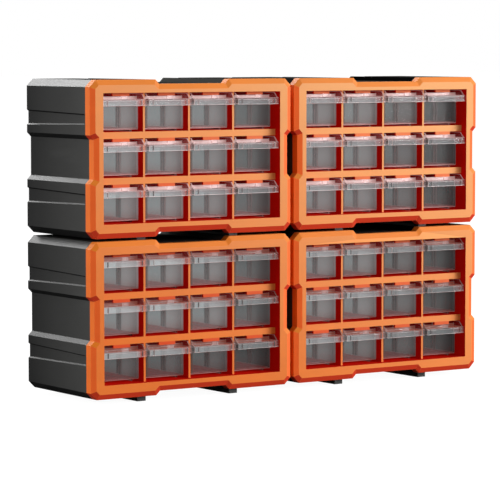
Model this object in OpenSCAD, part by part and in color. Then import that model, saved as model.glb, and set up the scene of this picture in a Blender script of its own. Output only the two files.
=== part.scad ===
// A block of four identical stackable parts cabinets, two across and two high, each with
// twelve see-through drawers. Front faces -Y, +Z is up, and the origin is the middle of the
// block's footprint, at floor level.

/* [Block] */
// Modules side by side
modules_across = 2; // [2]
// Modules stacked
modules_high = 2; // [2]
// Clear gap between neighbouring modules, side to side
gap_x = 5; // [3:0.5:8]

/* [Module] */
// Width of one module
module_w = 276; // [240:1:320]
// Height of one module without its rails
module_h = 180; // [168:1:220]
// Depth of one module, bezel to back wall
module_d = 146; // [130:1:220]
// Corner chamfer of the module's outline
corner = 8; // [6:0.5:9]
// Depth of the notch in the middle of each side
notch_d = 5; // [3:0.5:5.5]
// Half length of the notch in the top and bottom edges
notch_x_half = 50.5; // [40:0.5:55]
// Half length of the notch in the left and right edges
notch_z_half = 27.5; // [20:0.5:30]

/* [Front frame] */
// Depth of the coloured bezel that shows outside the shell
frame_d = 12.5; // [11:0.5:18]
// Width of the sloped edge round the bezel's face
bevel_w = 6; // [3:0.5:7]
// Depth of that sloped edge
bevel_d = 2.5; // [1:0.5:5]
// Bezel width at the left and right of the window
window_side = 16.5; // [15:0.5:22]
// Bezel width above the window
window_top = 15; // [15:0.5:20]
// Bezel width below the window
window_bottom = 16; // [15:0.5:20]
// How far the drawer grid sits behind the bezel's face
grid_recess = 10; // [8:0.5:10]
// Height of the front bar of each shelf
bar_h = 7.6; // [6:0.2:10]
// Thickness of the upright partitions
partition_t = 2.6; // [1.8:0.2:4]
// Thickness of shelf decks and outer grid walls
deck_t = 2; // [1.6:0.2:3]
// Width of the stop tab over each drawer
tab_w = 22.6; // [14:0.2:30]
// Height of the stop tab
tab_h = 3.7; // [2:0.1:3.8]

/* [Rear shell] */
// Wall thickness of the shell's sides
shell_wall = 2.2; // [1.8:0.1:3]
// Wall thickness of the shell's back
shell_back = 2.4; // [2:0.1:4]
// Depth of the grooves in the left side
side_groove_d = 2; // [1:0.2:3]
// Height of a side groove at its front end
side_groove_front = 10.5; // [8:0.5:14]
// Height of a side groove at the back
side_groove_rear = 16; // [15:0.5:20]
// Distance of each side groove from mid height
side_groove_z = 45.4; // [40:0.1:48]
// Height of the rails under a module
rail_h = 7; // [5:0.5:9]
// Depth of the grooves in the top, which take the rails of the module above
top_groove_d = 3.4; // [2:0.2:4]
// Width of a rail at its front end
rail_front = 11.5; // [8:0.5:13]
// Width of a rail at the back
rail_rear = 17; // [14:0.5:18]
// Distance of each rail from the module's middle
rail_x = 63.5; // [62:0.5:66]
// Radius of a wall-hanging keyhole's head hole
keyhole_r = 4.2; // [3.5:0.1:4.5]

/* [Drawers] */
// Rows of drawers in a module
rows = 3; // [3]
// Columns of drawers in a module
columns = 4; // [4]
// How far a drawer's front wall sits behind the bezel's face
drawer_front = 20; // [18:0.5:24]
// How far a drawer's handle sits behind the bezel's face
handle_front = 2; // [1.5:0.5:6]
// Wall thickness of a drawer
drawer_wall = 1.5; // [1.2:0.1:2]
// Side clearance of a drawer in its bay
side_play = 0.6; // [0.4:0.1:1]
// Height of the runners under a drawer
runner_h = 2.2; // [1:0.1:3]
// Height of the handle's front strip
strip_h = 7.4; // [6:0.1:12]
// Width of the lug in the middle of the handle
lug_w = 8.6; // [6:0.2:12]

/* [Hidden] */
MODULES = ["lower_left", "lower_right", "upper_left", "upper_right"];
DRAWERS = [for (m = MODULES, r = [1:rows], c = [1:columns]) drawer_name(m, r, c)];

// Overlap that makes a cut pass right through a face
through = 1;
// Window and bays
window_w = module_w - 2 * window_side;
window_h = module_h - window_top - window_bottom;
bay_w = (window_w - (columns - 1) * partition_t) / columns;
bay_h = (window_h - (rows - 1) * bar_h) / rows;
lip_t = frame_d - grid_recess;
bay_rear_h = bay_h + bar_h - deck_t;
grid_back = module_d - 7;
// The outline's points in convex pieces: the four corners, then the middle
PIECES = [
    [21, 22, 23, 0, 1, 2], [3, 4, 5, 6, 7, 8], [9, 10, 11, 12, 13, 14], [15, 16, 17, 18, 19, 20],
    [2, 3, 8, 9, 14, 15, 20, 21]
];
// Flange of the frame that fits inside the shell's mouth
flange_play = 0.2;
flange_t = 1.8;
flange_d = 6;
// Screw posts of the frame, and the screws that come through the shell's back
post = 8;
post_inset_x = 7.5;
post_inset_z = 7.5;
boss_r = 5.6;
boss_d = 4;
pocket_r = 3.9;
pocket_d = 3.4;
screw_hole_r = 1.9;
pilot_r = 1.8;
shank_r = 1.5;
shank_l = 15;
head_r = 3.2;
head_h = 2.2;
drive_l = 3.6;
drive_w = 0.8;
drive_d = 1.2;
inner_back = module_d - shell_back;
post_back = inner_back - boss_d;
pilot_d = 16;
head_seat = module_d - pocket_d;
// Grooves, tongues and rails all start just behind the bezel and widen towards the back
groove_start = frame_d + 1.2;
groove_slope = 1.6;
tongue_play = 0.5;
// The upper module's rails stand on the floors of the lower module's grooves
gap_z = rail_h - top_groove_d;
// Keyholes lie in the hollow between the shell's side and the drawer grid
keyhole_inset = 9;
keyhole_z = module_h - 30;
keyslot_r = 2.2;
keyslot_l = 7;
// Drawer levels, from the bay's floor
rim_z = bay_h - 4.2;
side_top_z = bay_h - 1.2;
plate_z = rim_z - 3.4;
lug_top_z = bay_h - 3.6;
drawer_back = inner_back - 1;
plate_t = 1.4;
strip_t = 1.5;
floor_t = 1.6;
handle_play = 0.8;
runner_w = 2.4;
runner_inset = 6;
runner_end = 4;
cheek_drop = 1;
label_inset = 5;
label_slot_w = 1.6;
label_slot_d = 0.6;
// Ribs inside a drawer that hold a loose divider
rib_y = 56.4;
rib_t = 3;
rib_slot = 1.8;
rib_proud = 1.4;
// Size of the whole block, for its origin
tongue_reach = gap_x + side_groove_d;
block_w = modules_across * module_w + (modules_across - 1) * gap_x + tongue_reach;

function drawer_name(m, r, c) = str(m, "_drawer_r", r, "_c", c);

// Where a module's lower left front corner stands in the block
function place(m) = [
    -block_w / 2 + (m == "lower_right" || m == "upper_right" ? module_w + gap_x : 0),
    -module_d / 2,
    rail_h + (m == "upper_left" || m == "upper_right" ? module_h + gap_z : 0)
];

// Lower left corner of a bay, row 1 at the top and column 1 at the left
function bay_x(c) = window_side + (c - 1) * (bay_w + partition_t);
function bay_z(r) = window_bottom + (rows - r) * (bay_h + bar_h);

// The module's outline in width and height, anticlockwise
function outline() = let (
    w = module_w, h = module_h, n = notch_d, x = w / 2, z = h / 2,
    a = notch_x_half, b = notch_x_half - n, p = notch_z_half, q = notch_z_half - n
) [
    [corner, 0], [x - a, 0], [x - b, n], [x + b, n], [x + a, 0], [w - corner, 0],
    [w, corner], [w, z - p], [w - n, z - q], [w - n, z + q], [w, z + p], [w, h - corner],
    [w - corner, h], [x + a, h], [x + b, h - n], [x - b, h - n], [x - a, h], [corner, h],
    [0, h - corner], [0, z + p], [n, z + q], [n, z - q], [0, z - p], [0, corner]
];

// Unit vector that points into the module from the edge a to b
function edge_normal(a, b) = let (d = (b - a) / norm(b - a)) [-d.y, d.x];

// An anticlockwise outline with every edge moved inwards by t
function inset(pts, t) = [for (i = [0:len(pts) - 1]) let (
    p = pts[i],
    n0 = edge_normal(pts[(i + len(pts) - 1) % len(pts)], p),
    n1 = edge_normal(p, pts[(i + 1) % len(pts)])
) p + t * (n0 + n1) / (1 + n0 * n1)];

// An outline in width and height, drawn out in depth from y0 to y1
module prism_y(pts, y0, y1) {
    translate([0, y1, 0]) rotate([90, 0, 0]) linear_extrude(y1 - y0) polygon(pts);
}

// A profile in depth and height, drawn out in width from x0 to x1
module prism_x(pts, x0, x1) {
    translate([x0, 0, 0]) rotate([90, 0, 90]) linear_extrude(x1 - x0) polygon(pts);
}

// A box between two corners
module box(a, b) {
    translate(a) cube(b - a);
}

// The bezel with its notches: its face, moved inwards all round, then flat slopes out to the
// outline at bevel_d, then straight sides back to frame_d
module bezel() {
    n = len(outline());
    face = inset(outline(), bevel_w);
    polyhedron(
        points = concat([for (p = face) [p.x, 0, p.y]],
                        [for (p = outline()) [p.x, bevel_d, p.y]],
                        [for (p = outline()) [p.x, frame_d, p.y]]),
        faces = concat(
            [for (piece = PIECES) [for (k = [len(piece) - 1:-1:0]) piece[k]]],
            [for (piece = PIECES) [for (k = piece) 2 * n + k]],
            [for (ring = [0, n], i = [0:n - 1]) let (j = (i + 1) % n)
                [ring + i, ring + j, ring + n + j, ring + n + i]]
        )
    );
}

// Half height of a tapered tongue or groove at depth y, grown by e
function taper(front, rear, y, e) =
    (front + (rear - front) * (y - groove_start) / (module_d - groove_start)) / 2 + e;

// The trapezium of a tapered tongue, rail or groove, along the depth
function wedge(front, rear, y0, y1, e) = [
    [y0, -taper(front, rear, y0, e)], [y1, -taper(front, rear, y1, e)],
    [y1, taper(front, rear, y1, e)], [y0, taper(front, rear, y0, e)]
];

// A groove cut into the face x = 0, with sloped lips, wider at its mouth
module side_groove() {
    front = side_groove_front;
    rear = side_groove_rear;
    back = module_d + through;
    mouth = wedge(front, rear, groove_start, back, groove_slope / 2);
    floor = wedge(front, rear, groove_start + groove_slope, back, -groove_slope / 2);
    polyhedron(
        points = concat([for (p = mouth) [0, p.x, p.y]], [for (p = floor) [side_groove_d, p.x, p.y]],
                        [for (p = mouth) [-through, p.x, p.y]]),
        faces = [
            [4, 7, 6, 5], [8, 9, 10, 11],
            [0, 4, 5, 1], [1, 5, 6, 2], [2, 6, 7, 3], [3, 7, 4, 0],
            [8, 0, 1, 9], [9, 1, 2, 10], [10, 2, 3, 11], [11, 3, 0, 8]
        ]
    );
}

// A tongue on the right side, which fills the groove of the module beside it
module side_tongue() {
    shrink = -groove_slope / 2 - tongue_play;
    start = groove_start + groove_slope + tongue_play;
    prism_x(wedge(side_groove_front, side_groove_rear, start, module_d, shrink),
            module_w - shell_wall, module_w + tongue_reach);
}

// A rail under the module, or the groove that takes it, e wider at each side
module rail(z0, z1, start, end, e) {
    translate([0, 0, z0]) linear_extrude(z1 - z0)
        polygon([for (p = wedge(rail_front, rail_rear, start, end, e)) [p.y, p.x]]);
}

// Puts children at each rail's place
module at_rails() {
    for (s = [-1, 1]) translate([module_w / 2 + s * rail_x, 0, 0]) children();
}

// Puts children at the height of each side groove
module at_side_grooves() {
    for (s = [-1, 1]) translate([0, 0, module_h / 2 + s * side_groove_z]) children();
}

// Places of the four screws, as [x, z]
screw_x = post_inset_x + post / 2;
screw_z = post_inset_z + post / 2;
SCREWS = [
    for (x = [screw_x, module_w - screw_x], z = [screw_z, module_h - screw_z]) [x, z]
];

// A cylinder along the depth, from y0 to y1
module round_y(r, y0, y1) {
    translate([0, y1, 0]) rotate([90, 0, 0]) cylinder(r = r, h = y1 - y0, $fn = 48);
}

// The outer box of the drawer grid, t larger than the bays all round
module grid_block(y0, y1, t) {
    box([window_side - t, y0, window_bottom - t],
        [module_w - window_side + t, y1, module_h - window_top + bar_h - deck_t + t]);
}

// The space of one bay: its mouth under the shelf's bar, and the taller run behind it
module bay_space(r, c) {
    x = bay_x(c);
    z = bay_z(r);
    box([x, grid_recess - through, z], [x + bay_w, frame_d, z + bay_h]);
    box([x, frame_d, z], [x + bay_w, module_d, z + bay_rear_h]);
}

// The tab over a bay that stops the drawer's back wall
module stop_tab(r, c) {
    x = bay_x(c) + bay_w / 2;
    top = bay_z(r) + bay_h;
    box([x - tab_w / 2, grid_recess, top - tab_h], [x + tab_w / 2, frame_d, top + bar_h / 4]);
}

// Coloured bezel, moulded in one with the grid of shelves and partitions and the screw posts
module front_frame() {
    color("#f0853c") {
        difference() {
            union() {
                bezel();
                difference() {
                    inner = inset(outline(), shell_wall + flange_play);
                    prism_y(inner, frame_d, frame_d + flange_d);
                    prism_y(inset(inner, flange_t), frame_d, module_d);
                    groove_bumps(flange_play);
                }
                grid_block(bevel_d, grid_back, deck_t);
                for (s = SCREWS)
                    box([s.x - post / 2, bevel_d, s.y - post / 2],
                        [s.x + post / 2, post_back, s.y + post / 2]);
            }
            box([window_side, -through, window_bottom],
                [module_w - window_side, grid_recess, module_h - window_top]);
            for (r = [1:rows], c = [1:columns]) bay_space(r, c);
            for (s = SCREWS)
                translate([s.x, post_back + through, s.y]) rotate([90, 0, 0])
                    cylinder(r = pilot_r, h = pilot_d + through, $fn = 6);
        }
        for (r = [1:rows], c = [1:columns]) stop_tab(r, c);
    }
}

// Thicker patches inside the shell, behind its grooves, e larger all round
module groove_bumps(e) {
    half = side_groove_rear / 2 + groove_slope + shell_wall + e;
    at_side_grooves()
        box([0, frame_d - e, -half], [side_groove_d + shell_wall + e, inner_back + e, half]);
    rail_half = rail_rear / 2 + tongue_play + shell_wall + e;
    at_rails()
        box([-rail_half, frame_d - e, module_h - top_groove_d - shell_wall - e],
            [rail_half, inner_back + e, module_h]);
}

// A keyhole through the back wall: a round head hole with a slot up from it
module keyhole() {
    translate([0, 0, keyhole_z]) {
        round_y(keyhole_r, inner_back - through, module_d + through);
        box([-keyslot_r, inner_back - through, 0], [keyslot_r, module_d + through, keyslot_l]);
        translate([0, 0, keyslot_l]) round_y(keyslot_r, inner_back - through, module_d + through);
    }
}

// Dark one-piece casing: sides, back, rails below, grooves above and at the left, tongues
// at the right
module rear_shell() {
    color("#3b3b38") difference() {
        union() {
            difference() {
                prism_y(outline(), frame_d, module_d);
                prism_y(inset(outline(), shell_wall), frame_d - through, inner_back);
            }
            groove_bumps(0);
            for (s = SCREWS) translate([s.x, 0, s.y]) round_y(boss_r, post_back, inner_back);
            at_rails() rail(-rail_h, shell_wall, groove_start, module_d, 0);
            at_side_grooves() side_tongue();
        }
        at_side_grooves() side_groove();
        at_rails()
            rail(module_h - top_groove_d, module_h + through, groove_start - tongue_play,
                 module_d + through, tongue_play);
        for (s = SCREWS) translate([s.x, 0, s.y]) {
            round_y(pocket_r, head_seat, module_d + through);
            round_y(screw_hole_r, post_back - through, module_d);
        }
        for (x = [keyhole_inset, module_w - keyhole_inset]) translate([x, 0, 0]) keyhole();
    }
}

// Four round-headed screws with crossed slots, which hold the shell to the frame's posts
module case_screws() {
    color("#8a8a8c") for (s = SCREWS) translate([s.x, 0, s.y]) difference() {
        union() {
            round_y(head_r, head_seat, head_seat + head_h);
            round_y(shank_r, head_seat - shank_l, head_seat);
        }
        for (turn = [0, 90]) rotate([0, turn, 0])
            box([-drive_l / 2, head_seat + head_h - drive_d, -drive_w / 2],
                [drive_l / 2, head_seat + head_h + through, drive_w / 2]);
    }
}

// Side wall of a drawer, which runs on past the front wall as the handle's cheek
function side_profile() = [
    [drawer_front, runner_h], [drawer_back, runner_h], [drawer_back, side_top_z],
    [handle_front + strip_t + side_top_z - plate_z, side_top_z],
    [handle_front + strip_t, plate_z], [handle_front + strip_t, plate_z - strip_h + cheek_drop],
    [drawer_front, plate_z - strip_h - cheek_drop]
];

// One clear drawer, in its bay's own axes
module drawer() {
    left = side_play;
    right = bay_w - side_play;
    color("#9aa0a2c0") {
        difference() {
            union() {
                box([left, drawer_front, runner_h], [right, drawer_front + drawer_wall, rim_z]);
                box([left, drawer_back - drawer_wall, runner_h], [right, drawer_back, side_top_z]);
                box([left, drawer_front, runner_h], [right, drawer_back, runner_h + floor_t]);
                prism_x(side_profile(), left, left + drawer_wall);
                prism_x(side_profile(), right - drawer_wall, right);
                box([left, handle_front, plate_z - plate_t], [right, drawer_front, plate_z]);
                box([left, handle_front, plate_z - strip_h],
                    [right, handle_front + strip_t, plate_z]);
                box([bay_w / 2 - lug_w / 2, handle_front, plate_z],
                    [bay_w / 2 + lug_w / 2, handle_front + strip_t, lug_top_z]);
                for (x = [left + runner_inset, right - runner_inset - runner_w])
                    box([x, drawer_front + runner_end, 0],
                        [x + runner_w, drawer_back - runner_end, runner_h]);
                for (x = [left + drawer_wall, right - drawer_wall - rib_proud],
                     y = [rib_y, rib_y + rib_t + rib_slot])
                    box([x, y, runner_h + floor_t], [x + rib_proud, y + rib_t, plate_z]);
            }
            for (x = [left + label_inset, right - label_inset - label_slot_w])
                box([x, handle_front - through, plate_z - strip_h + label_slot_d],
                    [x + label_slot_w, handle_front + label_slot_d, plate_z - label_slot_d]);
        }
    }
}

for (m = MODULES) translate(place(m)) {
    front_frame();
    rear_shell();
    case_screws();
    for (r = [1:rows], c = [1:columns])
        translate([bay_x(c), 0, bay_z(r)]) drawer();
}
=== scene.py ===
import math

import bmesh
import bpy
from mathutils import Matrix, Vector


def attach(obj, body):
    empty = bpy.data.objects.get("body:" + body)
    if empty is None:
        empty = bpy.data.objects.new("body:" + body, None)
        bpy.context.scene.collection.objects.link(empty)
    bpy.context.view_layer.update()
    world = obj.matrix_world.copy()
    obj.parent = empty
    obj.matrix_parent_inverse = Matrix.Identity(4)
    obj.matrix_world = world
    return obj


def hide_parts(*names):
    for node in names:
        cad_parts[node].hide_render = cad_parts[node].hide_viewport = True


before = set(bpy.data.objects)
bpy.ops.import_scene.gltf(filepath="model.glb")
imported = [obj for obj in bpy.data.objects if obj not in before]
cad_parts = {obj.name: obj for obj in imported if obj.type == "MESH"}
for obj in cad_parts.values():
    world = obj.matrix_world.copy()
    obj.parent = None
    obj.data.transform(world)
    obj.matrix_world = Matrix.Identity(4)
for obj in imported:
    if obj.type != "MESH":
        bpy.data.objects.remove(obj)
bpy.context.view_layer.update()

MM = 0.001
MODULES = ("lower_left", "lower_right", "upper_left", "upper_right")

# Depths behind the bezel's face, as in the part's source
FACE_Y = -73 * MM
REAR_Y = 73 * MM
BEZEL_D = 12.5 * MM
GRID_RECESS = 10 * MM
HANDLE_FRONT = 2 * MM
STRIP_T = 1.5 * MM
DRAWER_FRONT = 20 * MM
DRAWER_WALL = 1.5 * MM

# Width that the chamfered left corners stay within
CHAMFER_W = 40 * MM
MODULE_W = 276 * MM
MODULE_PITCH = 281 * MM
BLOCK_HALF = 282 * MM
NOTCH_HALF = 50.5 * MM

# Margins of the window in the bezel
WINDOW_SIDE = 16.5 * MM
WINDOW_TOP = 15 * MM
WINDOW_BOTTOM = 16 * MM

# The grid in the window
BAY_H = 44.6 * MM
BAR_H = 7.6 * MM
TAB_W = 22.6 * MM
TAB_H = 3.7 * MM

# Heights in a drawer, above the floor of its bay
RUNNER_H = 2.2 * MM
DRAWER_FLOOR = 3.8 * MM
PLATE_Z = 37 * MM
RIBS_Y = FACE_Y + 60.3 * MM
RIBS_HALF = 3.9 * MM
RIB_T = 3 * MM
SLOT_D = 0.6 * MM
NEAR = 0.15 * MM

# Roundings and the chamfer at the foot of a drawer's front
EDGE_R = 0.35 * MM
SHELL_EDGE_R = 0.7 * MM
STRIP_EDGE_R = 0.6 * MM
FOOT_CHAMFER = 1.1 * MM


# ---------------------------------------------------------------- materials

# The colour sockets of a Mix node
MIX_FIRST, MIX_SECOND, MIX_RESULT = 6, 7, 2

BLACK = (0, 0, 0)
WHITE = (1, 1, 1)
# Painted shade at the rear of the dark plastic
REAR_SHADE_BLACK = (0.001, 0.001, 0.001)
# Painted sheen on the orange plastic, towards the upper right
PAINTED_SHEEN_ORANGE = (0.92, 0.62, 0.26)
# Painted shade over the divider ribs
RIB_SHADE = (0.03, 0.03, 0.03)
# Painted shade at the left end of a drawer's front, beside the partition
CORNER_SHADE = (0.10, 0.05, 0.03)

# The middle of the block, where the right modules start, as lowest and highest x
MIDDLE = (-10 * MM, 10 * MM)
# The heights between which the lower modules end and the upper ones start
STOREY = (0.16, 0.22)
# Where the third column starts, from the left side of a module
THIRD_COLUMN = (134 * MM, 146 * MM)
# The span of a module over which the painted glow in the handles falls off
HANDLE_SPAN = (60 * MM, 240 * MM)
# The top of the lowest row of drawers
LOWEST_ROW = (69 * MM, 74 * MM)

# The painted shade band over the divider ribs: its middle, where it fades out, and the wall behind it
RIB_BAND_Y = RIBS_Y + 2 * MM
RIB_BAND_HALF = (4.4 * MM, 6.2 * MM)
BEHIND_RIBS = (RIBS_Y + 4 * MM, RIBS_Y + 9 * MM)

# Levels in a drawer, as shares of its height, and places as shares of its width
WALL_FADE = (0.62, 0.76)
WALL_FOOT = (0.05, 0.30)
CORNER_TOP = (0.62, 0.68)
CORNER_WIDTH = (0.135, 0.175)
HANDLE_END = (0.82, 0.87)


class Wire:
    """A shader socket that takes part in arithmetic. Each operator adds a Math node."""

    def __init__(self, finish, socket):
        self.finish, self.socket = finish, socket

    def math(self, operation, *others):
        sockets = dict(enumerate((self, *others)))
        return self.finish.add("ShaderNodeMath", {"operation": operation}, sockets)[0]

    def reflected(self, operation, other):
        return self.finish.add("ShaderNodeMath", {"operation": operation}, {0: other, 1: self})[0]

    def __add__(self, other):
        return self.math("ADD", other)

    def __sub__(self, other):
        return self.math("SUBTRACT", other)

    def __rsub__(self, other):
        return self.reflected("SUBTRACT", other)

    def __mul__(self, other):
        return self.math("MULTIPLY", other)

    def __pow__(self, other):
        return self.math("POWER", other)

    def __abs__(self):
        return self.math("ABSOLUTE")

    __radd__ = __add__
    __rmul__ = __mul__


class Outputs:
    """The outputs of a node, by name or number, as wires."""

    def __init__(self, finish, node):
        self.finish, self.node = finish, node

    def __getitem__(self, key):
        return Wire(self.finish, self.node.outputs[key])


class Finish:
    """A node tree: the material called name, or else the tree that is given."""

    def __init__(self, name, tree=None):
        if tree is None:
            self.material = bpy.data.materials.new(name)
            self.material.use_nodes = True
            tree = self.material.node_tree
        tree.nodes.clear()
        self.tree = tree

    def add(self, kind, settings=None, sockets=None):
        node = self.tree.nodes.new(kind)
        for name, value in (settings or {}).items():
            setattr(node, name, value)
        for name, value in (sockets or {}).items():
            if isinstance(value, Wire):
                self.tree.links.new(value.socket, node.inputs[name])
            else:
                node.inputs[name].default_value = value
        return Outputs(self, node)

    def place(self):
        """Where a point of the piece is at rest, in metres."""
        return self.add("ShaderNodeTexCoord")["Object"]

    def axes(self):
        """The place at rest as three wires: across, depth and height."""
        split = self.add("ShaderNodeSeparateXYZ", None, {0: self.place()})
        return split["X"], split["Y"], split["Z"]

    def stretched(self, scale):
        sockets = {0: self.place(), 1: scale}
        return self.add("ShaderNodeVectorMath", {"operation": "MULTIPLY"}, sockets)[0]

    def noise(self, scale, detail=3.0, roughness=0.55, vector=None):
        sockets = {"Scale": scale, "Detail": detail, "Roughness": roughness,
                   "Vector": vector or self.place()}
        return self.add("ShaderNodeTexNoise", None, sockets)["Fac"]

    def between(self, value, low, high, to_low=0.0, to_high=1.0):
        """value from low to high as to_low to to_high, held at the ends."""
        sockets = {"Value": value, "From Min": low, "From Max": high,
                   "To Min": to_low, "To Max": to_high}
        return self.add("ShaderNodeMapRange", {"clamp": True}, sockets)[0]

    def mix(self, share, first, second):
        """The first colour where share is 0, the second one where it is 1. share is held there."""
        sockets = {"Factor": share, MIX_FIRST: colour(first), MIX_SECOND: colour(second)}
        return self.add("ShaderNodeMix", {"data_type": "RGBA"}, sockets)[MIX_RESULT]

    def bump(self, height, strength, distance):
        sockets = {"Height": height, "Strength": strength, "Distance": distance}
        return self.add("ShaderNodeBump", None, sockets)["Normal"]

    def surface(self, **sockets):
        names = {name.replace("_", " "): value for name, value in sockets.items()}
        shader = self.add("ShaderNodeBsdfPrincipled", None, names)
        self.output(shader[0])
        return self.material

    def output(self, wire, kind="ShaderNodeOutputMaterial"):
        self.add(kind, None, {"Surface": wire})


def colour(value):
    """A wire as it is, or three numbers with full opacity."""
    return value if isinstance(value, Wire) else (*value[:3], 1.0)


def orange_plastic(name, base, painted_sheen, lift=0.0, gloss=0.32, glow=BLACK):
    """Moulded orange plastic with fine grain, flow marks and scuffs.

    painted_sheen is how much a painted sheen pales it towards the upper right. lift adds to the
    roughness. glow is a painted glow.
    """
    f = Finish(name)
    flow = f.noise(14, 4, 0.6, f.stretched((1.0, 1.0, 2.6)))
    grain = f.noise(2600, 2, 0.6)
    scuff = f.between(f.noise(160, 5, 0.7), 0.62, 0.74)
    tone = f.mix(f.between(flow, 0.35, 0.65), [c * 0.955 for c in base],
                 [min(c * 1.04, 1) for c in base])
    tone = f.mix(scuff * 0.10, tone, [min(c * 1.12 + 0.03, 1) for c in base])
    across, _, height = f.axes()
    light = f.between(0.4 * across + height, -0.03, 0.42) ** 1.2
    # Painted sheen: paler towards the upper right
    tone = f.mix(light * painted_sheen, tone, PAINTED_SHEEN_ORANGE)
    return f.surface(
        Base_Color=tone,
        Roughness=0.46 + lift + 0.10 * flow + 0.08 * scuff,
        Normal=f.bump(grain, 0.16, 0.00012),
        Specular_IOR_Level=gloss,
        Emission_Color=colour(glow),
        Emission_Strength=1.0,
    )


def dark_plastic(name, base, lift=0.0, gloss=0.27, lit_left=1.0, painted_rear_shade=0.95):
    """Dark casing plastic with a spark-eroded grain and faint rubbing marks.

    lit_left is how much paler a painted light makes it on the left module, and painted_rear_shade how
    much a painted shade darkens it at the rear.
    """
    f = Finish(name)
    cloud = f.noise(9, 4, 0.6)
    grain = f.noise(2100, 3, 0.7)
    across, depth, _ = f.axes()
    rub = f.between(f.noise(30, 6, 0.65, f.stretched((1.0, 0.22, 1.0))), 0.58, 0.72)
    tone = f.mix(f.between(cloud, 0.3, 0.7), [c * 0.9 for c in base], [c * 1.12 for c in base])
    tone = f.mix(rub * 0.25, tone, [c * 1.5 + 0.004 for c in base])
    # Painted shade: darker towards the rear
    tone = f.mix(f.between(depth, FACE_Y, REAR_Y, 0.0, painted_rear_shade), tone, REAR_SHADE_BLACK)
    # Painted light: paler on the left module
    if lit_left != 1.0:
        on_left = f.between(across, -0.05, 0.02, 1.0, 0.0)
        tone = f.mix(on_left, tone, [c * lit_left for c in base])
    return f.surface(
        Base_Color=tone,
        Roughness=0.36 + lift + 0.08 * cloud + 0.06 * rub,
        Normal=f.bump(grain, 0.18, 0.0001),
        Specular_IOR_Level=gloss,
    )


def from_module_side(across):
    """The distance from the left side of the module that a point is in."""
    return (across + BLOCK_HALF).math("MODULO", MODULE_PITCH)


def drawer_light(f, across, height):
    """Painted shade: less painted light on the right modules, their right columns and the lowest row.
    """
    far = f.between(from_module_side(across), *THIRD_COLUMN)
    right = f.between(across, *MIDDLE)
    lowest = f.between(height, *LOWEST_ROW, 1.0, 0.0)
    by_column = 1 - far * (0.06 + 0.26 * right)
    by_row = 1 - lowest * (0.50 - 0.25 * right)
    return (1 - 0.10 * right) * by_column * by_row


def handle_light(f, across):
    """The painted glow in a handle falls off from left to right in each module."""
    fall = f.between(from_module_side(across), *HANDLE_SPAN)
    right = f.between(across, *MIDDLE)
    return (1 - 0.70 * fall) * (1 - 0.40 * right)


def smoky_plastic(name, base, alpha, gloss, glow=BLACK, low_base=None, low_glow=None, shine=0.6,
                  light=None, upper=None, corner=0.0, end=None):
    """See-through smoky plastic of the drawers, with a painted glow (emission) on its edges and walls.

    low_base and low_glow are the tone and the painted glow in the lower modules, painted to the light
    there. light names the function that gives the share of the painted light and shade by place. upper
    is the opacity of the top of a wall, where the painted glow stops. corner is how much painted shade
    darkens the left end beside the partition, and end is the painted glow at the right end.
    """
    f = Finish(name)
    within = f.add("ShaderNodeSeparateXYZ", None, {0: f.add("ShaderNodeTexCoord")["Generated"]})
    across, depth, height = f.axes()
    lines = f.noise(1, 3, 0.5, f.stretched((420.0, 60.0, 9.0)))
    cloud = f.noise(24, 3, 0.5)
    wear = f.between(f.noise(240, 5, 0.7), 0.6, 0.72)
    in_upper = f.between(height, *STOREY)
    tone = f.mix(in_upper, low_base or base, base)
    tone = f.mix(f.between(lines, 0.3, 0.7, 0.0, 0.02), tone, WHITE)
    hue = f.mix(in_upper, low_glow or glow, glow)
    painted_light_share = 1.0
    # Painted light and shade by place
    if light == "drawer":
        painted_light_share = drawer_light(f, across, height)
        tone = f.mix(painted_light_share, BLACK, tone)
    elif light == "handle":
        painted_light_share = handle_light(f, across)
    opacity = alpha * (1 + 0.03 * (lines - 0.5) + 0.08 * (cloud - 0.5) + 0.06 * wear)
    if upper is not None:
        # Painted glow in a wall stops towards its top
        body = f.between(within["Z"], *WALL_FADE, 1.0, 0.0)
        # Painted shade band over the divider ribs, which also dims the painted glow
        ribs = f.between(abs(depth - RIB_BAND_Y), *RIB_BAND_HALF, 0.12, 1.0)
        painted_light_share = painted_light_share * body * ribs
        opacity = opacity * (upper / alpha + (1 - upper / alpha) * body)
        # Painted glow: bluer, and painted tone less red, behind the ribs
        deep = f.between(depth, *BEHIND_RIBS)
        tone = f.mix(deep * 0.22, tone, (0, base[1], base[2]))
        tone = f.mix(ribs, RIB_SHADE, tone)
        hue = f.mix(deep, hue, [glow[0] * 0.95, glow[1] * 1.12, glow[2] * 1.14])
        # Painted glow: redder and dimmer towards the foot of the wall, as bounce from the orange bay
        foot = f.between(within["Z"], *WALL_FOOT, 0.6, 0.0)
        hue = f.mix(foot, hue, [glow[0] * 0.6, glow[1] * 0.2, glow[2] * 0.15])
    if corner:
        # Painted shade at the left end beside the partition
        shade = f.between(within["X"], *CORNER_WIDTH, corner, 0.0)
        shade = shade * f.between(within["Z"], *CORNER_TOP, 1.0, 0.0)
        tone = f.mix(shade, tone, CORNER_SHADE)
        opacity = opacity + shade * (0.9 - alpha)
    if end is not None:
        # Painted glow: red at the right end
        hue = f.mix(f.between(within["X"], *HANDLE_END), hue, end)
    return f.surface(
        Base_Color=tone,
        Alpha=f.between(opacity, 0.0, 1.0),
        Roughness=gloss + 0.08 * wear + 0.05 * cloud,
        Normal=f.bump(f.noise(60, 2, 0.5, f.stretched((1.0, 1.0, 0.3))), 0.12, 0.0002),
        Specular_IOR_Level=shine,
        Emission_Color=f.mix(painted_light_share, BLACK, hue),
        Emission_Strength=1.0,
    )


def screw_steel(name):
    """Zinc-plated steel with a fine grain."""
    f = Finish(name)
    cloud = f.noise(900, 4, 0.6)
    tone = f.mix(cloud, (0.42, 0.42, 0.43), (0.68, 0.67, 0.65))
    return f.surface(
        Base_Color=tone,
        Metallic=1.0,
        Roughness=0.30 + 0.2 * cloud,
        Normal=f.bump(f.noise(4000, 2), 0.2, 0.00005),
    )
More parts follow.
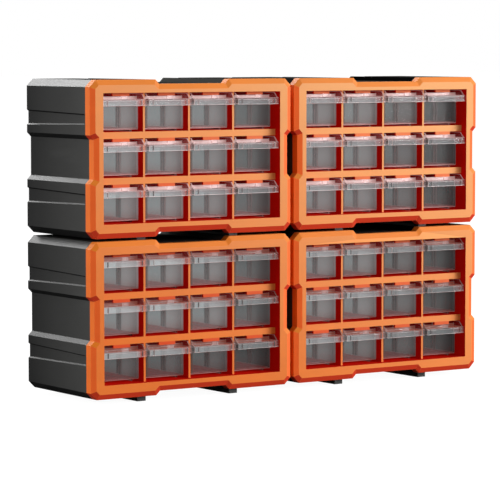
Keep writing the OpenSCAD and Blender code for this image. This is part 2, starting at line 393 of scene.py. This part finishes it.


# Each slot's materials. The first is the common one and the second is for rounded edges, painted
# lighter in the plastics as an edge highlight.
# The others are for faces that the functions of the pieces choose, by the numbers below; most are
# copies with painted shade, light or glow.
finishes = {
    "orange_plastic": (
        # Painted sheen: paler towards the upper right
        orange_plastic("orange_plastic", (0.96, 0.200, 0.012), 0.64, gloss=0.18),
        # Painted edge highlight: paler rounded edges, with less painted sheen
        orange_plastic("orange_plastic_edge_highlight", (0.90, 0.24, 0.05), 0.20, 0.05),
        # Painted shade: deep red on the bay walls and behind the grid, with a faint painted glow
        orange_plastic("orange_plastic_recess_shade", (0.56, 0.005, 0.001), 0.0, 0.2, 0.01,
                       (0.042, 0.0003, 0.0002)),
        # Painted shade: darker, redder copies for the undersides, sides, slopes, flanks, grid and tabs
        orange_plastic("orange_plastic_underside_shade", (0.60, 0.038, 0.010), 0.0, 0.1, 0.15),
        orange_plastic("orange_plastic_side_shade", (0.86, 0.155, 0.006), 0.0),
        orange_plastic("orange_plastic_slope_shade", (0.75, 0.180, 0.005), 0.10, gloss=0.2),
        orange_plastic("orange_plastic_grid_shade", (0.77, 0.165, 0.012), 0.45, gloss=0.2),
        orange_plastic("orange_plastic_tab_shade", (0.68, 0.068, 0.014), 0.24, gloss=0.1),
        orange_plastic("orange_plastic_flank_shade", (1.0, 0.140, 0.014), 0.0),
    ),
    "dark_plastic": (
        dark_plastic("dark_plastic", (0.042, 0.042, 0.0400)),
        # Painted edge highlight: lighter rounded edges
        dark_plastic("dark_plastic_edge_highlight", (0.065, 0.065, 0.063)),
        # Painted shade: near black in the notches and on the right modules' chamfer in the gap; painted
        # light makes it paler on the left module
        dark_plastic("dark_plastic_notch_shade_and_light", (0.0035, 0.0035, 0.0033), 0.3, 0.0, 14.0),
        # Painted shade: darker undersides
        dark_plastic("dark_plastic_underside_shade", (0.010, 0.010, 0.010), 0.2, 0.1),
        dark_plastic("dark_plastic_top", (0.042, 0.042, 0.0400), 0.3, 0.0, painted_rear_shade=0.5),
        dark_plastic("dark_plastic_rear", (0.034, 0.034, 0.0325), 0.1, painted_rear_shade=0.0),
    ),
    "smoky_drawer_plastic": (
        # Painted glow in the walls, with painted shade by place
        smoky_plastic("smoky_drawer_plastic", (0.36, 0.39, 0.395), 0.7, 0.15, (0.20, 0.22, 0.22),
                      low_glow=(0.22, 0.24, 0.24), light="drawer", upper=0.22),
        # Painted highlight and glow on the rounded edges, painted darker in the lower modules
        smoky_plastic("smoky_drawer_plastic_edge_glow", (0.80, 0.70, 0.70), 0.7, 0.15, (0.15, 0.09, 0.085),
                      low_base=(0.50, 0.42, 0.41), low_glow=(0.07, 0.035, 0.03)),
        # Painted shade by place and at the left end beside the partition
        smoky_plastic("smoky_drawer_plastic_front", (0.26, 0.275, 0.275), 0.3, 0.10, shine=0.08,
                      light="drawer", corner=0.75),
        # Painted glow in the handle strip, falling off to the right, with a red painted reflection at
        # its right end
        smoky_plastic("smoky_drawer_plastic_handle", (0.60, 0.65, 0.665), 0.09, 0.10,
                      (0.84, 0.90, 0.92), low_glow=(0.98, 1.00, 1.01), light="handle",
                      end=(1.2, 0.12, 0.02)),
        # Painted highlight and glow on the rim, painted darker in the lower modules
        smoky_plastic("smoky_drawer_plastic_rim", (0.86, 0.68, 0.665), 0.66, 0.15, (0.32, 0.23, 0.22),
                      low_base=(0.34, 0.20, 0.18), low_glow=(0.15, 0.035, 0.02), shine=0.35),
        # Painted reflection of the orange bay and painted glow: red floor of the drawer
        smoky_plastic("smoky_drawer_plastic_floor", (0.32, 0.035, 0.030), 0.5, 0.15,
                      (0.15, 0.006, 0.005), low_glow=(0.12, 0.005, 0.004), shine=0.0),
        # Painted shade: near-black ribs
        smoky_plastic("smoky_drawer_plastic_rib_shade", (0.03, 0.03, 0.03), 0.9, 0.2, upper=0.3),
        # Painted shade: darker walls in the fourth column, with painted glow
        smoky_plastic("smoky_drawer_plastic_outer_shade", (0.16, 0.195, 0.20), 0.8, 0.15, (0.055, 0.07, 0.07),
                      light="drawer", upper=0.25),
        smoky_plastic("smoky_drawer_plastic_cheek", (0.60, 0.52, 0.50), 0.11, 0.10, shine=0.3),
        # Painted shade: dark red runners, with a red bounce from the bay
        smoky_plastic("smoky_drawer_plastic_runner_shade", (0.06, 0.006, 0.004), 0.6, 0.2, shine=0.1),
        # Painted shade in the label slot
        smoky_plastic("smoky_drawer_plastic_slot_shade", (0.05, 0.05, 0.05), 0.75, 0.2, shine=0.1),
        # Painted highlight and glow on the lug, painted darker in the lower modules
        smoky_plastic("smoky_drawer_plastic_lug", (0.80, 0.50, 0.48), 0.45, 0.15, (0.28, 0.14, 0.13),
                      low_base=(0.30, 0.15, 0.13), low_glow=(0.13, 0.03, 0.02), shine=0.1),
    ),
    "screw_steel": (screw_steel("screw_steel"), screw_steel("screw_steel_edges")),
}
# Faces of the front frame that take darker copies of the orange plastic, as painted shade
(FRAME_RECESS_SHADE, FRAME_UNDERSIDE_SHADE, FRAME_SIDE_SHADE, FRAME_SLOPE_SHADE, FRAME_GRID_SHADE, FRAME_TAB_SHADE,
 FRAME_FLANK_SHADE) = 2, 3, 4, 5, 6, 7, 8
SHELL_NOTCH_SHADE, SHELL_UNDERSIDE_SHADE, SHELL_TOP, SHELL_REAR = 2, 3, 4, 5
# Faces of a drawer; most of their materials carry painted shade, painted highlight or painted glow
(DRAWER_PANEL, DRAWER_HANDLE, DRAWER_RIM, DRAWER_BASE, DRAWER_RIBS_SHADE, DRAWER_OUTER_SHADE, DRAWER_CHEEK,
 DRAWER_RUNNER_SHADE, DRAWER_SLOT_SHADE, DRAWER_LUG) = 2, 3, 4, 5, 6, 7, 8, 9, 10, 11


# ---------------------------------------------------------------- mesh helpers

SHARP = math.radians(12)


def moulding_mesh(node):
    """The node's form as a welded mesh whose flat faces are whole, ready for rounding."""
    bm = bmesh.new()
    bm.from_mesh(node.data)
    bmesh.ops.remove_doubles(bm, verts=bm.verts, dist=1e-6)
    bmesh.ops.dissolve_limit(bm, angle_limit=math.radians(0.4), use_dissolve_boundaries=False,
                             verts=bm.verts, edges=bm.edges)
    return bm


def is_sharp(edge):
    return len(edge.link_faces) == 2 and edge.calc_face_angle(0) > SHARP


def round_edges(bm, chosen, radius, segments=2):
    """Rounds the chosen sharp edges. The new faces take the second material slot."""
    edges = [e for e in bm.edges if is_sharp(e) and chosen(e)]
    if edges:
        bmesh.ops.bevel(bm, geom=edges, offset=radius, offset_type="OFFSET", segments=segments,
                        profile=0.5, affect="EDGES", clamp_overlap=True, material=1)


def is_crease(edge):
    """A corner that stays crisp: any on flat faces, only a steep one beside a rounding."""
    if len(edge.link_faces) != 2:
        return True
    rounded = any(face.material_index == 1 for face in edge.link_faces)
    return edge.calc_face_angle(0) > (math.radians(40) if rounded else SHARP)


def span(face, axis):
    """The lowest and highest place of a face's corners along an axis."""
    places = [v.co[axis] for v in face.verts]
    return min(places), max(places)


def dress(name, node_name, bm, slot_name, body):
    """Turns a worked mesh into a piece that stands for its CAD node."""
    for face in bm.faces:
        face.smooth = True
    for edge in bm.edges:
        edge.smooth = not is_crease(edge)
    mesh = bpy.data.meshes.new(name)
    bm.to_mesh(mesh)
    bm.free()
    for material in finishes[slot_name]:
        mesh.materials.append(material)
    piece = bpy.data.objects.new(name, mesh)
    bpy.context.scene.collection.objects.link(piece)
    weighted = piece.modifiers.new("even_shading", "WEIGHTED_NORMAL")
    weighted.keep_sharp = True
    weighted.weight = 100
    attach(piece, body)
    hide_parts(node_name)
    return piece


def in_front(depth):
    """Edges that lie wholly in front of a depth behind the bezel's face."""
    return lambda e: all(v.co.y < FACE_Y + depth for v in e.verts)


def corners(bm):
    """The lowest and highest corner of a mesh's box."""
    points = [v.co for v in bm.verts]
    return (Vector([min(p[i] for p in points) for i in range(3)]),
            Vector([max(p[i] for p in points) for i in range(3)]))


# ---------------------------------------------------------------- pieces

def split_tabs(bm, top):
    """Cuts the grid's front along the lower side of each shelf, so that a tab is a face."""
    for row in (1, 2):
        level = top - WINDOW_TOP - row * (BAY_H + BAR_H)
        flat = [f for f in bm.faces if all(abs(v.co.y - FACE_Y - GRID_RECESS) < NEAR for v in f.verts)]
        geometry = list({v for f in flat for v in f.verts} | {e for f in flat for e in f.edges}) + flat
        bmesh.ops.bisect_plane(bm, geom=geometry, dist=1e-6, plane_co=(0, 0, level), plane_no=(0, 0, 1))


def make_front_frame(module):
    node = module + "_front_frame"
    bm = moulding_mesh(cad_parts[node])
    low, high = corners(bm)
    split_tabs(bm, high.z)
    for face in bm.faces:
        middle = face.calc_center_bounds()
        in_window = (low.x + WINDOW_SIDE - NEAR < middle.x < low.x + MODULE_W - WINDOW_SIDE + NEAR
                     and low.z + WINDOW_BOTTOM - NEAR < middle.z < high.z - WINDOW_TOP + NEAR)
        # Painted shade: the bay walls and the faces behind the grid's front take the deep red copy
        if in_window and abs(face.normal.y) < 0.5 or middle.y > FACE_Y + GRID_RECESS + 2 * NEAR:
            face.material_index = FRAME_RECESS_SHADE
        # Painted shade: a darker copy on the grid's front, darker still on the tabs under the shelves
        elif in_window:
            bottom, top = span(face, 2)
            left, right = span(face, 0)
            is_tab = top - bottom < TAB_H + NEAR and right - left < TAB_W + NEAR
            face.material_index = FRAME_TAB_SHADE if is_tab else FRAME_GRID_SHADE
        # Painted shade: darker copies by the way a face turns, on the undersides, slopes, flanks and
        # sides
        elif face.normal.z < -0.2:
            face.material_index = FRAME_UNDERSIDE_SHADE
        elif face.normal.z > 0.2:
            face.material_index = FRAME_SLOPE_SHADE
        elif abs(face.normal.x) > 0.2:
            face.material_index = FRAME_FLANK_SHADE if face.normal.y < -0.2 else FRAME_SIDE_SHADE
    round_edges(bm, in_front(BEZEL_D + NEAR), EDGE_R)
    dress(node + "_moulding", node, bm, "orange_plastic", "cabinet_block")


def make_rear_shell(module):
    node = module + "_rear_shell"
    bm = moulding_mesh(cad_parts[node])
    low, high = corners(bm)
    centre = low.x + MODULE_W / 2
    for face in bm.faces:
        middle = face.calc_center_bounds()
        if face.normal.z > 0.5:
            # Painted shade: the right modules' left chamfer, in the gap, is painted near black
            chamfer_in_gap_shade = module.endswith("right") and middle.x < low.x + CHAMFER_W
            if face.normal.z > 0.9 and middle.z > high.z - CHAMFER_W:
                face.material_index = SHELL_TOP
            elif abs(middle.x - centre) < NOTCH_HALF + NEAR or chamfer_in_gap_shade:
                face.material_index = SHELL_NOTCH_SHADE
        # Painted shade on the undersides
        elif face.normal.z < -0.2:
            face.material_index = SHELL_UNDERSIDE_SHADE
        elif face.normal.y > 0.5 or face.normal.x > 0.5 and middle.x > centre:
            face.material_index = SHELL_REAR
    round_edges(bm, lambda e: True, SHELL_EDGE_R)
    # Rounded edges that face up take the painted notch shade near the notch, and the top's material
    # elsewhere
    for face in bm.faces:
        if face.material_index == 1 and face.normal.z > 0.3:
            near_notch = abs(face.calc_center_bounds().x - centre) < NOTCH_HALF + 2 * SHELL_EDGE_R
            face.material_index = SHELL_NOTCH_SHADE if near_notch else SHELL_TOP
    dress(node + "_moulding", node, bm, "dark_plastic", "cabinet_block")


def make_case_screws(module):
    node = module + "_case_screws"
    bm = moulding_mesh(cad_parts[node])
    dress(node + "_turned", node, bm, "screw_steel", "cabinet_block")


def drawer_finish(face, floor_z):
    """The material of a face of a drawer, by where the face lies."""
    middle = face.calc_center_bounds()
    depth = middle.y - FACE_Y
    height = middle.z - floor_z
    front, back = span(face, 1)
    # Painted shade on the runners and the bottom
    if height < RUNNER_H + NEAR and face.normal.z > -0.5 or height < NEAR:
        return DRAWER_RUNNER_SHADE
    left, right = span(face, 0)
    if height > PLATE_Z + 0.5 * MM and right - left < TAB_W and back < FACE_Y + DRAWER_FRONT + NEAR:
        return DRAWER_LUG
    if depth < HANDLE_FRONT + STRIP_T + NEAR:
        # Painted shade in the label slot
        if NEAR < depth - HANDLE_FRONT < SLOT_D + NEAR and back < FACE_Y + HANDLE_FRONT + SLOT_D + NEAR:
            return DRAWER_SLOT_SHADE
        return DRAWER_HANDLE if height < PLATE_Z - NEAR else DRAWER_RIM
    if back < FACE_Y + DRAWER_FRONT + NEAR and front < FACE_Y + DRAWER_FRONT - NEAR:
        if face.normal.z > 0.5:
            return DRAWER_RIM
        return DRAWER_CHEEK if abs(face.normal.x) > 0.5 else DRAWER_HANDLE
    if back < FACE_Y + DRAWER_FRONT + DRAWER_WALL + NEAR:
        return DRAWER_PANEL if height < PLATE_Z else DRAWER_RIM
    if abs(face.normal.z) > 0.5 and height < DRAWER_FLOOR + NEAR:
        return DRAWER_BASE
    # Painted shade on the ribs
    if back - front < RIB_T + NEAR and abs(middle.y - RIBS_Y) < RIBS_HALF + NEAR:
        return DRAWER_RIBS_SHADE
    return 0


def make_drawer(node):
    bm = moulding_mesh(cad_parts[node])
    floor_z = corners(bm)[0].z
    for face in bm.faces:
        face.material_index = drawer_finish(face, floor_z)
        # Painted shade: the walls of the fourth column take the darker copy
        if face.material_index == 0 and node.endswith("c4"):
            face.material_index = DRAWER_OUTER_SHADE
    foot = [e for e in bm.edges
            if all(abs(v.co.y - FACE_Y - DRAWER_FRONT) < NEAR for v in e.verts)
            and all(v.co.z < floor_z + DRAWER_FLOOR for v in e.verts)]
    bmesh.ops.bevel(bm, geom=foot, offset=FOOT_CHAMFER, offset_type="OFFSET", segments=1,
                    profile=0.5, affect="EDGES", clamp_overlap=True, material=1)
    strip_back = FACE_Y + HANDLE_FRONT + STRIP_T
    round_edges(bm, lambda e: all(v.co.y < strip_back - NEAR for v in e.verts), STRIP_EDGE_R, 1)
    round_edges(bm, lambda e: all(f.material_index != 1 for f in e.link_faces), EDGE_R)
    dress(node + "_moulding", node, bm, "smoky_drawer_plastic", node)


for module in MODULES:
    make_front_frame(module)
    make_rear_shell(module)
    make_case_screws(module)
for node in sorted(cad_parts):
    if "_drawer_" in node:
        make_drawer(node)


# ---------------------------------------------------------------- stage

def make_stage():
    """A pale floor that looks white to the camera and keeps the shadow of the cabinets."""
    bm = bmesh.new()
    bmesh.ops.create_grid(bm, x_segments=8, y_segments=8, size=30)
    mesh = bpy.data.meshes.new("floor")
    bm.to_mesh(mesh)
    bm.free()
    floor = bpy.data.objects.new("floor", mesh)
    bpy.context.scene.collection.objects.link(floor)
    f = Finish("pale_floor")
    path = f.add("ShaderNodeLightPath")
    seen = path["Is Camera Ray"].math("MAXIMUM", path["Is Transmission Ray"])
    lit = f.add("ShaderNodeBsdfDiffuse", None, {"Color": (0.14, 0.14, 0.14, 1)})[0]
    glow = f.add("ShaderNodeEmission", None, {"Color": (1, 1, 1, 1), "Strength": 0.96})[0]
    both = f.add("ShaderNodeAddShader", None, {0: lit, 1: glow})[0]
    f.output(f.add("ShaderNodeMixShader", None, {0: seen, 1: lit, 2: both})[0])
    mesh.materials.append(f.material)


def make_world():
    world = bpy.data.worlds.new("studio")
    bpy.context.scene.world = world
    world.use_nodes = True
    f = Finish("studio", world.node_tree)
    path = f.add("ShaderNodeLightPath")
    seen = path["Is Camera Ray"].math("MAXIMUM", path["Is Transmission Ray"])
    soft = f.add("ShaderNodeBackground", None, {"Color": (1, 1, 1, 1), "Strength": 0.42})[0]
    white = f.add("ShaderNodeBackground", None, {"Color": (1, 1, 1, 1), "Strength": 1.0})[0]
    f.output(f.add("ShaderNodeMixShader", None, {0: seen, 1: soft, 2: white})[0],
             "ShaderNodeOutputWorld")


def soft_light(name, place, target, width, height, watts):
    light = bpy.data.lights.new(name, "AREA")
    light.shape = "RECTANGLE"
    light.size, light.size_y = width, height
    light.energy = watts
    lamp = bpy.data.objects.new(name, light)
    bpy.context.scene.collection.objects.link(lamp)
    lamp.location = place
    aim = Vector(target) - Vector(place)
    lamp.rotation_euler = aim.to_track_quat("-Z", "Y").to_euler()


def make_camera():
    data = bpy.data.cameras.new("camera")
    data.sensor_width = 36
    data.lens = 193.26
    data.clip_end = 100
    camera = bpy.data.objects.new("camera", data)
    camera.location = (-1.83207, -2.67471, 0.40690)
    camera.rotation_euler = (math.radians(90 - 4.313), 0, math.radians(-34.176))
    bpy.context.scene.collection.objects.link(camera)
    bpy.context.scene.camera = camera


make_stage()
make_world()
make_camera()
soft_light("key_right", (3.1, -2.5, 1.1), (0.05, 0, 0.18), 1.9, 1.9, 125)
soft_light("panel_front_right", (2.6, -3.8, 1.0), (0, 0, 0.25), 2.4, 1.5, 85)
soft_light("left_back", (-3.0, 1.0, 0.9), (-0.28, 0, 0.2), 1.4, 1.4, 54)
soft_light("top_back", (-0.2, 2.2, 1.75), (0, 0, 0.2), 2.6, 0.9, 58)

scene = bpy.context.scene
scene.view_settings.view_transform = "Standard"
scene.cycles.transparent_max_bounces = 32
scene.cycles.caustics_reflective = False
scene.cycles.caustics_refractive = False
